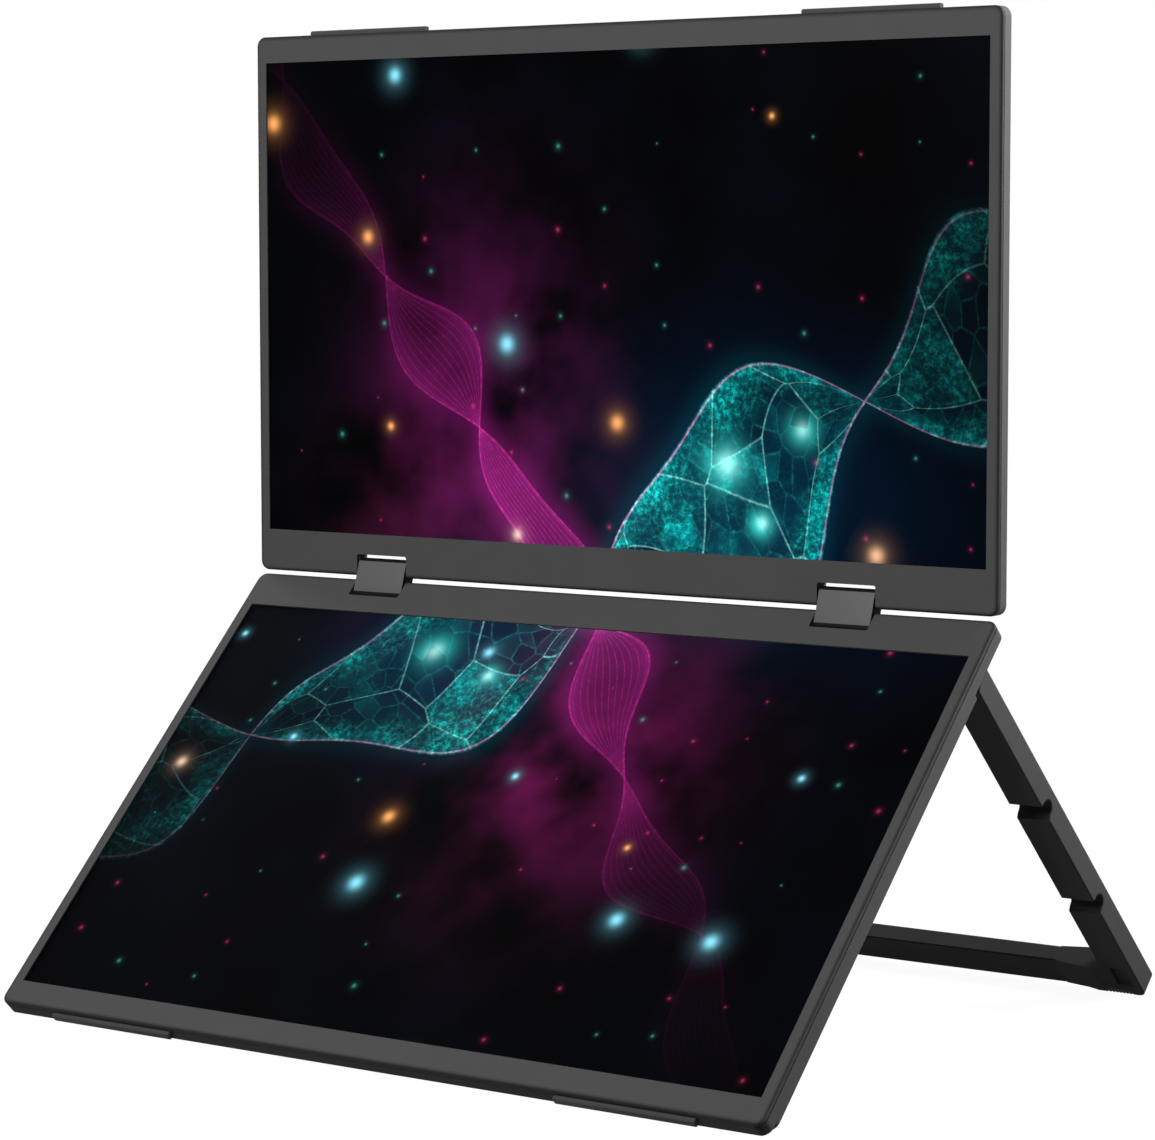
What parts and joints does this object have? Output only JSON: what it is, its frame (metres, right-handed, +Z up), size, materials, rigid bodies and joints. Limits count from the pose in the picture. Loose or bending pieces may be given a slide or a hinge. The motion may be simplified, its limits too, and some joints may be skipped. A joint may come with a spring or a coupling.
{
  "type": "dual portable monitor",
  "caption": "Two flat portable displays joined edge to edge by double hinges, standing on a folding leg, with the lower display leaning back and the upper one upright.",
  "frame": {"origin": "middle of the footprint, on the table", "axes": "+Z up, -Y to the front, where the user sits, +X to the user's right"},
  "size_m": [0.3544, 0.284, 0.3847],
  "materials": {
    "bezel": "dark grey, fine matt moulding",
    "cover": "dark grey anodised, fine blasted",
    "screen": "anti-glare LCD glass, near black",
    "light_guide": "clear white film stack",
    "steel": "bare",
    "screw": "black zinc plated",
    "circuit_board": "green solder mask",
    "chip": "black epoxy",
    "rubber": "matt black",
    "hinge_link": "dark grey anodised, satin",
    "leg": "dark grey anodised, fine blasted",
    "port_metal": "plated",
    "black_plastic": "moulded",
    "clear_plastic": "translucent",
    "button": "moulded",
    "ribbon": "polyimide film",
    "brass": "turned"
  },
  "bodies": {
    "lower_display": {"lower_front_bezel": "bezel", "lower_back_cover": "cover", "lower_screen": "screen", "lower_backlight": "light_guide", "lower_rear_plate": "steel", "lower_driver_board": "circuit_board", "lower_cover_screws": "screw", "lower_edge_strip_left": "rubber", "lower_hinge_bracket_left": "steel", "lower_hinge_pin_left": "steel", "lower_edge_strip_right": "rubber", "lower_hinge_bracket_right": "steel", "lower_hinge_pin_right": "steel", "leg_hinge_block_left": "leg", "leg_pin_left": "steel", "speaker_left": "black_plastic", "leg_hinge_block_right": "leg", "leg_pin_right": "steel", "speaker_right": "black_plastic", "main_board": "circuit_board", "board_chips": "chip", "board_screws": "screw", "usb_c_ports": "port_metal", "usb_c_tongues": "black_plastic", "mini_hdmi_port": "port_metal", "mini_hdmi_tongue": "black_plastic", "audio_jack": "black_plastic", "status_light": "clear_plastic", "side_switches": "black_plastic", "signal_ribbon": "ribbon", "leg_block_screws": "screw"},
    "hinge_links": {"hinge_link_left": "hinge_link", "hinge_link_right": "hinge_link", "link_washers": "steel"},
    "upper_display": {"upper_front_bezel": "bezel", "upper_back_cover": "cover", "upper_screen": "screen", "upper_backlight": "light_guide", "upper_rear_plate": "steel", "upper_driver_board": "circuit_board", "upper_cover_screws": "screw", "upper_edge_strip_left": "rubber", "upper_hinge_bracket_left": "steel", "upper_hinge_pin_left": "steel", "upper_edge_strip_right": "rubber", "upper_hinge_bracket_right": "steel", "upper_hinge_pin_right": "steel"},
    "leg": {"leg_arm_left": "leg", "leg_arm_right": "leg", "leg_cross_bar": "leg", "leg_screws": "screw", "leg_foot_pad_left": "rubber", "leg_foot_pad_right": "rubber", "leg_bushes": "brass"},
    "power_button": {"power_button": "button"},
    "menu_button": {"menu_button": "button"},
    "back_button": {"back_button": "button"}
  },
  "joints": [
    {"name": "lower_hinge", "type": "hinge", "parent": "lower_display", "child": "hinge_links", "pos_m": [0, 0.01561, 0.15532], "axis": [1, 0, 0], "range_deg": [-27.4, 62.6]},
    {"name": "upper_hinge", "type": "hinge", "parent": "hinge_links", "child": "upper_display", "pos_m": [0, 0.0187, 0.16479], "axis": [1, 0, 0], "range_deg": [-17.6, 72.4]},
    {"name": "leg_hinge", "type": "hinge", "parent": "lower_display", "child": "leg", "pos_m": [0, 0.00851, 0.13431], "axis": [1, 0, 0], "range_deg": [-90, 0]},
    {"name": "power_button_press", "type": "slide", "parent": "lower_display", "child": "power_button", "axis": [1, 0, 0], "range_m": [0, 0.0004], "stiffness_N_per_m": 1000},
    {"name": "menu_button_press", "type": "slide", "parent": "lower_display", "child": "menu_button", "axis": [1, 0, 0], "range_m": [0, 0.0004], "stiffness_N_per_m": 1000},
    {"name": "back_button_press", "type": "slide", "parent": "lower_display", "child": "back_button", "axis": [1, 0, 0], "range_m": [0, 0.0004], "stiffness_N_per_m": 1000}
  ]
}
